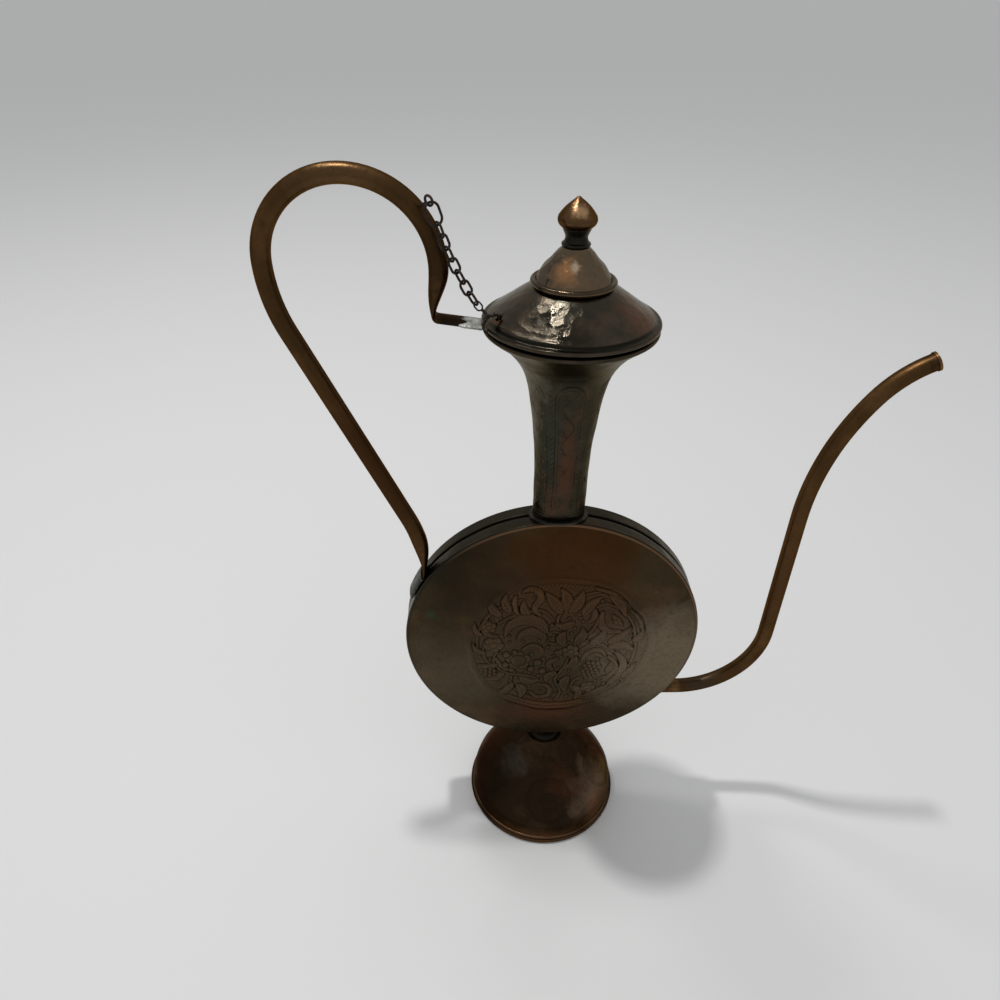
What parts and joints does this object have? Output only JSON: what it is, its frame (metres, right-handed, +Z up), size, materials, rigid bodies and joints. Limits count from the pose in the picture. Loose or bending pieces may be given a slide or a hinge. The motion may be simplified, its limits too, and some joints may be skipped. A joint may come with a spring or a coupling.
{
  "type": "copper ewer",
  "caption": "Tall ewer with a flat round flask on a bell foot, flared neck, chained lid with finial, looped tube handle and long tube spout.",
  "frame": {"origin": "centre of the foot's rim, in the plane that it stands on", "axes": "+Z up along the neck, +X towards the spout, -Y out of the front face of the flask"},
  "size_m": [0.3431, 0.1072, 0.4431],
  "materials": {
    "foot_copper": "dark brown aged copper",
    "flask_copper": "dark copper with embossed ornament",
    "seam_copper": "blackened seam",
    "neck_copper": "grey-brown engraved copper",
    "tube_copper": "grey-brown copper tube",
    "lid_copper": "hammered aged copper",
    "bright_copper": "worn bright copper",
    "dark_copper": "dark tarnished copper",
    "solder": "dull tin solder",
    "chain_iron": "rusty iron wire"
  },
  "bodies": {
    "ewer": {"foot_bell": "foot_copper", "foot_stem": "neck_copper", "body_front": "flask_copper", "body_back": "flask_copper", "body_sleeve": "seam_copper", "neck_tube": "neck_copper", "neck_solder": "solder", "handle_tube": "tube_copper", "handle_top_solder": "solder", "handle_bottom_solder": "solder", "spout_tube": "tube_copper", "spout_solder": "solder", "chain_eye": "chain_iron"},
    "lid": {"lid_skirt": "lid_copper", "lid_collar": "lid_copper", "lid_dome": "bright_copper", "finial_stem": "dark_copper", "finial_cap": "bright_copper", "lid_wire": "chain_iron"},
    "ring": {"chain_ring": "chain_iron"},
    "link_1": {"chain_link_1": "chain_iron"},
    "link_2": {"chain_link_2": "chain_iron"},
    "link_3": {"chain_link_3": "chain_iron"},
    "link_4": {"chain_link_4": "chain_iron"},
    "link_5": {"chain_link_5": "chain_iron"},
    "link_6": {"chain_link_6": "chain_iron"},
    "link_7": {"chain_link_7": "chain_iron"}
  },
  "joints": [
    {"name": "lid_lift", "type": "slide", "parent": "ewer", "child": "lid", "axis": [0, 0, 1], "range_m": [0, 0.008]},
    {"name": "ring_swing", "type": "hinge", "parent": "ewer", "child": "ring", "pos_m": [-0.0662, -0.0076, 0.4272], "axis": [0.1478, 0.989, 0], "range_deg": [0, 13.02]},
    {"name": "link_1_swing", "type": "hinge", "parent": "ring", "child": "link_1", "pos_m": [-0.0634, -0.00802, 0.41897], "axis": [0.1478, 0.989, 0], "range_deg": [0, 20.02]},
    {"name": "link_2_swing", "type": "hinge", "parent": "link_1", "child": "link_2", "pos_m": [-0.06158, -0.00829, 0.41363], "axis": [0.1478, 0.989, 0], "range_deg": [-14.19, 0]},
    {"name": "link_3_swing", "type": "hinge", "parent": "link_2", "child": "link_3", "pos_m": [-0.05956, -0.00859, 0.40836], "axis": [0.1478, 0.989, 0], "range_deg": [-14.19, 0]},
    {"name": "link_4_swing", "type": "hinge", "parent": "link_3", "child": "link_4", "pos_m": [-0.05735, -0.00892, 0.40318], "axis": [0.1478, 0.989, 0], "range_deg": [-14.19, 0]},
    {"name": "link_5_swing", "type": "hinge", "parent": "link_4", "child": "link_5", "pos_m": [-0.05494, -0.00928, 0.39808], "axis": [0.1478, 0.989, 0], "range_deg": [-14.19, 0]},
    {"name": "link_6_swing", "type": "hinge", "parent": "link_5", "child": "link_6", "pos_m": [-0.05235, -0.00967, 0.39307], "axis": [0.1478, 0.989, 0], "range_deg": [-14.19, 0]},
    {"name": "link_7_swing", "type": "hinge", "parent": "link_6", "child": "link_7", "pos_m": [-0.04957, -0.01009, 0.38817], "axis": [0.1478, 0.989, 0], "range_deg": [-14.19, 0]}
  ],
  "couplings": [
    {"joint": "ring_swing", "follows": "lid_lift", "rad_per_m": 28.362},
    {"joint": "link_1_swing", "follows": "lid_lift", "rad_per_m": 43.633},
    {"joint": "link_2_swing", "follows": "lid_lift", "rad_per_m": -30.907},
    {"joint": "link_3_swing", "follows": "lid_lift", "rad_per_m": -30.907},
    {"joint": "link_4_swing", "follows": "lid_lift", "rad_per_m": -30.907},
    {"joint": "link_5_swing", "follows": "lid_lift", "rad_per_m": -30.907},
    {"joint": "link_6_swing", "follows": "lid_lift", "rad_per_m": -30.907},
    {"joint": "link_7_swing", "follows": "lid_lift", "rad_per_m": -30.907}
  ]
}
